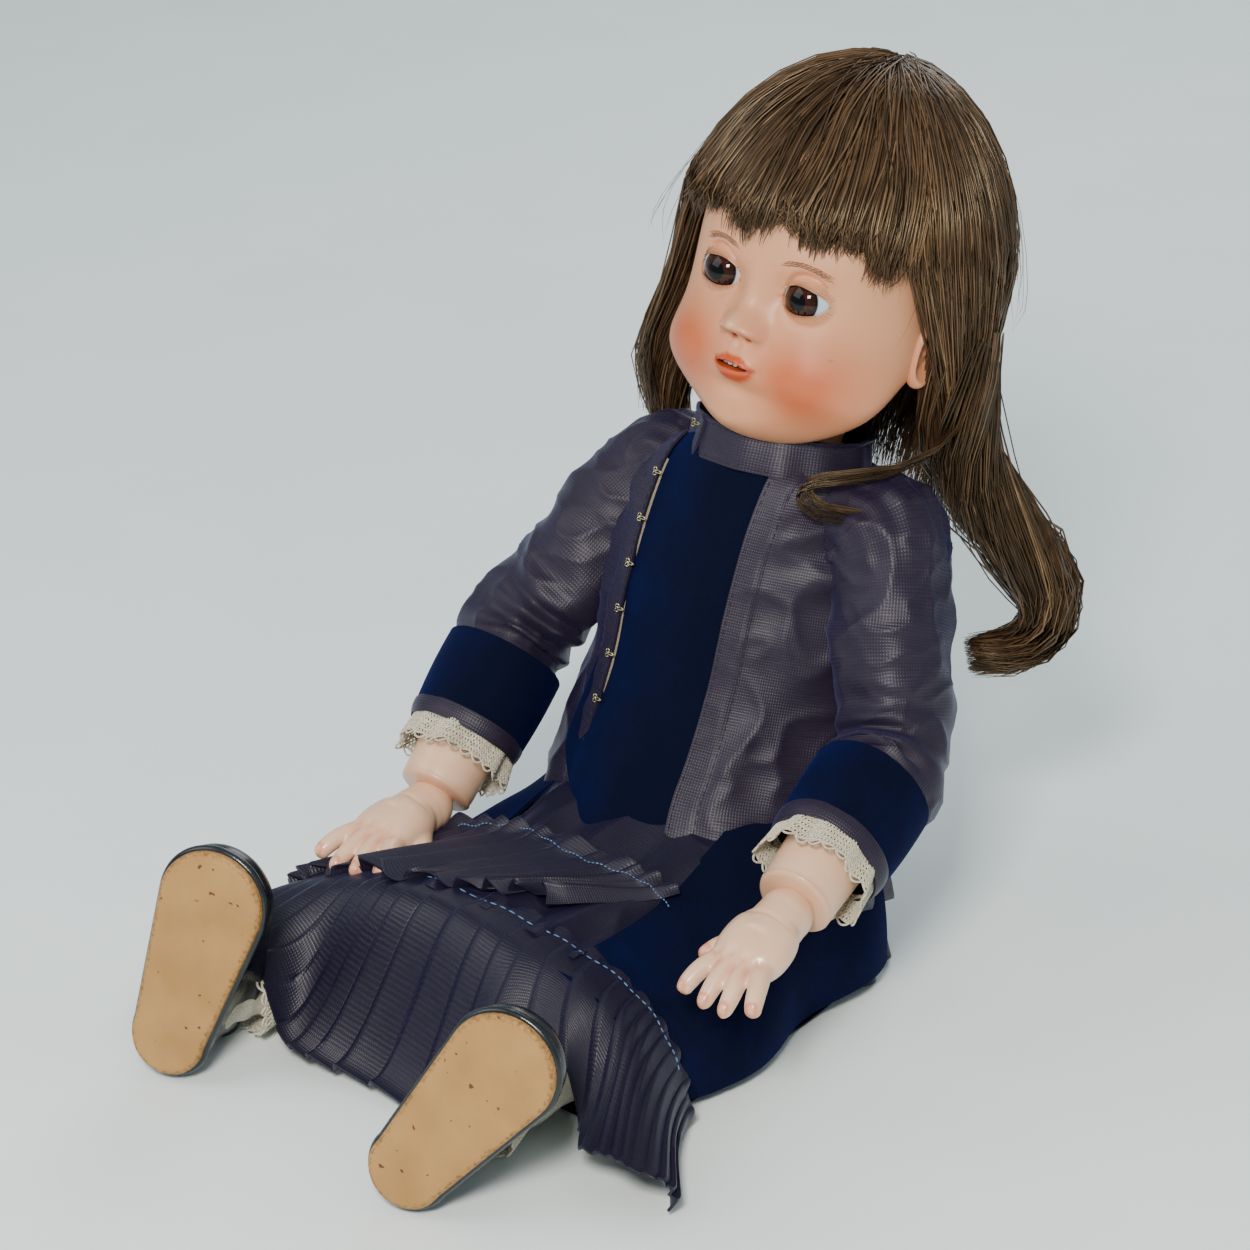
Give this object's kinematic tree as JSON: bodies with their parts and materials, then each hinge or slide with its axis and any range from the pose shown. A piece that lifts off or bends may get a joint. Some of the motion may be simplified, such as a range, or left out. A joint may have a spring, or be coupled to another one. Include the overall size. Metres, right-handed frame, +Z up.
{
  "type": "jointed doll",
  "caption": "Seated porcelain-headed doll with sleeping eyes, long wig, ball-jointed limbs, silk and velvet jacket and pleated skirt, leather shoes.",
  "frame": {"origin": "on the table under the middle of the hips", "axes": "+Z up, -Y the way the doll faces, +X the doll's own left"},
  "size_m": [0.2569, 0.3601, 0.3441],
  "materials": {
    "bisque": "unglazed bisque porcelain, tinted and painted, soft satin",
    "composition": "sawdust composition, flesh paint under a satin varnish",
    "wood": "turned wood, flesh paint, satin",
    "steel": "bright wire",
    "lead": "dull cast lead",
    "eye_glass": "blown glass with a dark brown iris, opaque, very glossy",
    "enamel": "white glaze",
    "cork": "cork board",
    "net": "stiffened net",
    "hair": "brown hair, satin with golden lights",
    "silk": "changeable silk taffeta, aubergine with a blue-violet sheen",
    "velvet": "navy blue cotton velvet",
    "lace": "cream crochet cotton",
    "cotton": "cream cotton",
    "leather": "black, soft shine",
    "sole_leather": "tan sole leather, smooth",
    "elastic": "covered elastic cord"
  },
  "bodies": {
    "torso": {"torso": "composition", "jacket": "silk", "plastron": "velvet", "collar": "silk", "hook_tape": "steel", "skirt_seat": "silk", "skirt_back": "silk", "skirt_front": "silk", "velvet_panel_right": "velvet", "velvet_panel_left": "velvet", "flounce_lower": "silk", "flounce_upper": "silk", "leg_elastic": "elastic", "arm_elastic": "elastic"},
    "neck": {"neck_hook": "steel"},
    "head": {"head": "bisque", "pate": "cork", "wig_cap": "net", "wig_hair": "hair", "hair_fall": "hair", "curl_left": "hair", "curl_right": "hair", "teeth": "enamel"},
    "eyes": {"eye_right": "eye_glass", "eye_left": "eye_glass", "eye_rocker": "lead"},
    "shoulder_right": {"shoulder_ball_right": "wood"},
    "upper_arm_right": {"upper_arm_right": "wood", "elbow_ball_right": "wood", "sleeve_right": "silk"},
    "forearm_right": {"forearm_right": "composition", "cuff_right": "velvet", "cuff_lace_right": "lace"},
    "hand_right": {"hand_right": "composition"},
    "hip_right": {"hip_ball_right": "wood"},
    "thigh_right": {"thigh_right": "wood", "knee_ball_right": "wood", "drawers_leg_right": "cotton"},
    "shin_right": {"shin_right": "composition", "stocking_right": "cotton", "shoe_upper_right": "leather", "shoe_sole_right": "sole_leather", "shoe_bow_right": "leather"},
    "shoulder_left": {"shoulder_ball_left": "wood"},
    "upper_arm_left": {"upper_arm_left": "wood", "elbow_ball_left": "wood", "sleeve_left": "silk"},
    "forearm_left": {"forearm_left": "composition", "cuff_left": "velvet", "cuff_lace_left": "lace"},
    "hand_left": {"hand_left": "composition"},
    "hip_left": {"hip_ball_left": "wood"},
    "thigh_left": {"thigh_left": "wood", "knee_ball_left": "wood", "drawers_leg_left": "cotton"},
    "shin_left": {"shin_left": "composition", "stocking_left": "cotton", "shoe_upper_left": "leather", "shoe_sole_left": "sole_leather", "shoe_bow_left": "leather"}
  },
  "joints": [
    {"name": "head_turn", "type": "hinge", "parent": "torso", "child": "neck", "pos_m": [0, 0.04733, 0.20552], "axis": [0, 0.2689, 0.9632], "range_deg": [-70, 70], "deforming": ["wig_hair", "hair_fall", "curl_left", "curl_right", "leg_elastic", "collar"]},
    {"name": "head_nod", "type": "hinge", "parent": "neck", "child": "head", "pos_m": [0, 0.04733, 0.20552], "axis": [0.9936, 0.0329, -0.1083], "range_deg": [-12, 2]},
    {"name": "eyes_close", "type": "hinge", "parent": "head", "child": "eyes", "pos_m": [0.00785, 0.02403, 0.27048], "axis": [0.9936, 0.0329, -0.1083], "range_deg": [0, 60]},
    {"name": "arm_swing_right", "type": "hinge", "parent": "torso", "child": "shoulder_right", "pos_m": [-0.054, 0.0398, 0.17855], "axis": [1, 0, 0], "range_deg": [-60, 0], "deforming": ["sleeve_right", "jacket", "plastron", "arm_elastic"]},
    {"name": "arm_spread_right", "type": "hinge", "parent": "shoulder_right", "child": "upper_arm_right", "pos_m": [-0.054, 0.0398, 0.17855], "axis": [0, 0.7672, -0.6414], "range_deg": [0, 40]},
    {"name": "elbow_right", "type": "hinge", "parent": "upper_arm_right", "child": "forearm_right", "pos_m": [-0.08597, -0.01279, 0.11565], "axis": [-0.3936, -0.597, 0.6991], "range_deg": [-28, 56]},
    {"name": "wrist_right", "type": "hinge", "parent": "forearm_right", "child": "hand_right", "pos_m": [-0.07855, -0.07844, 0.06377], "axis": [0.0882, -0.7815, -0.6176], "range_deg": [-45, 80]},
    {"name": "arm_swing_left", "type": "hinge", "parent": "torso", "child": "shoulder_left", "pos_m": [0.054, 0.0398, 0.17855], "axis": [1, 0, 0], "range_deg": [-60, 60], "deforming": ["sleeve_left"]},
    {"name": "arm_spread_left", "type": "hinge", "parent": "shoulder_left", "child": "upper_arm_left", "pos_m": [0.054, 0.0398, 0.17855], "axis": [0, -0.9013, 0.4331], "range_deg": [0, 40]},
    {"name": "elbow_left", "type": "hinge", "parent": "upper_arm_left", "child": "forearm_left", "pos_m": [0.08316, 0.00384, 0.10371], "axis": [-0.932, -0.0014, -0.3624], "range_deg": [-43, 41]},
    {"name": "wrist_left", "type": "hinge", "parent": "forearm_left", "child": "hand_left", "pos_m": [0.09486, -0.07382, 0.07392], "axis": [0.1393, -0.9246, -0.3546], "range_deg": [-80, 80]},
    {"name": "leg_swing_right", "type": "hinge", "parent": "torso", "child": "hip_right", "pos_m": [-0.032, 0, 0.036], "axis": [1, 0, 0], "range_deg": [0, 74], "deforming": ["skirt_seat", "skirt_back", "skirt_front", "velvet_panel_right", "velvet_panel_left", "flounce_lower", "flounce_upper", "hook_tape", "drawers_leg_right"]},
    {"name": "leg_spread_right", "type": "hinge", "parent": "hip_right", "child": "thigh_right", "pos_m": [-0.032, 0, 0.036], "axis": [0, 0, 1], "range_deg": [-10, 15]},
    {"name": "knee_right", "type": "hinge", "parent": "thigh_right", "child": "shin_right", "pos_m": [-0.06189, -0.09035, 0.02739], "axis": [0.9494, -0.3141, 0], "range_deg": [0, 80]},
    {"name": "leg_swing_left", "type": "hinge", "parent": "torso", "child": "hip_left", "pos_m": [0.032, 0, 0.036], "axis": [1, 0, 0], "range_deg": [-25, 74], "deforming": ["drawers_leg_left"]},
    {"name": "leg_spread_left", "type": "hinge", "parent": "hip_left", "child": "thigh_left", "pos_m": [0.032, 0, 0.036], "axis": [0, 0, 1], "range_deg": [-5, 14]},
    {"name": "knee_left", "type": "hinge", "parent": "thigh_left", "child": "shin_left", "pos_m": [0.03579, -0.09497, 0.02727], "axis": [0.9992, 0.0399, 0], "range_deg": [0, 80]}
  ]
}
